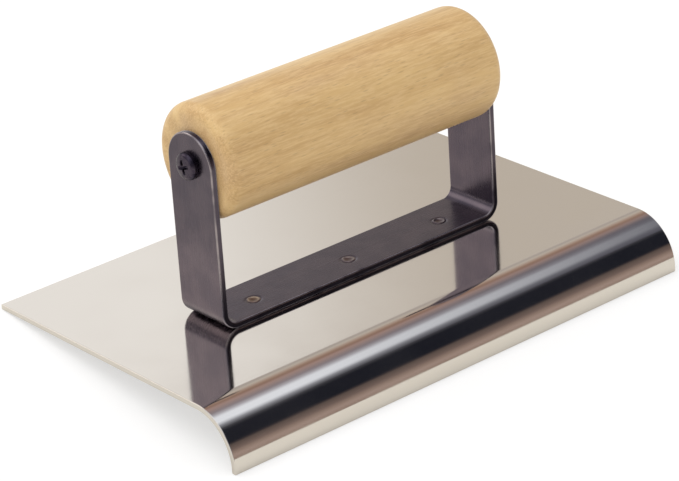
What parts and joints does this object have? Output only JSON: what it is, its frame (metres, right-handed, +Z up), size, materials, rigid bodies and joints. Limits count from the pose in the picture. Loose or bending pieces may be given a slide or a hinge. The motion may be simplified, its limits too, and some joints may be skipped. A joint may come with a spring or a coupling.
{
  "type": "concrete hand edger",
  "caption": "Steel edging trowel with a flat blade, a rolled front lip, and a round wooden grip screwed between the ears of a bent strap bracket.",
  "frame": {"origin": "on the blade's flat underside, below the middle of the bracket", "axes": "+X along the grip, -Y towards the rolled lip, +Z up from the blade"},
  "size_m": [0.2032, 0.127, 0.0985],
  "materials": {
    "polished_steel": "stainless sheet polished almost to a mirror",
    "dark_steel": "satin dark oxide",
    "hardwood": "clear satin varnish",
    "black_screw": "black oxide",
    "weld_metal": "heat-tinted steel"
  },
  "bodies": {
    "root": {"blade": "polished_steel", "handle_bracket": "dark_steel", "wood_handle": "hardwood", "screw_left": "black_screw", "screw_right": "black_screw", "weld_left": "weld_metal", "weld_middle": "weld_metal", "weld_right": "weld_metal"}
  },
  "joints": []
}
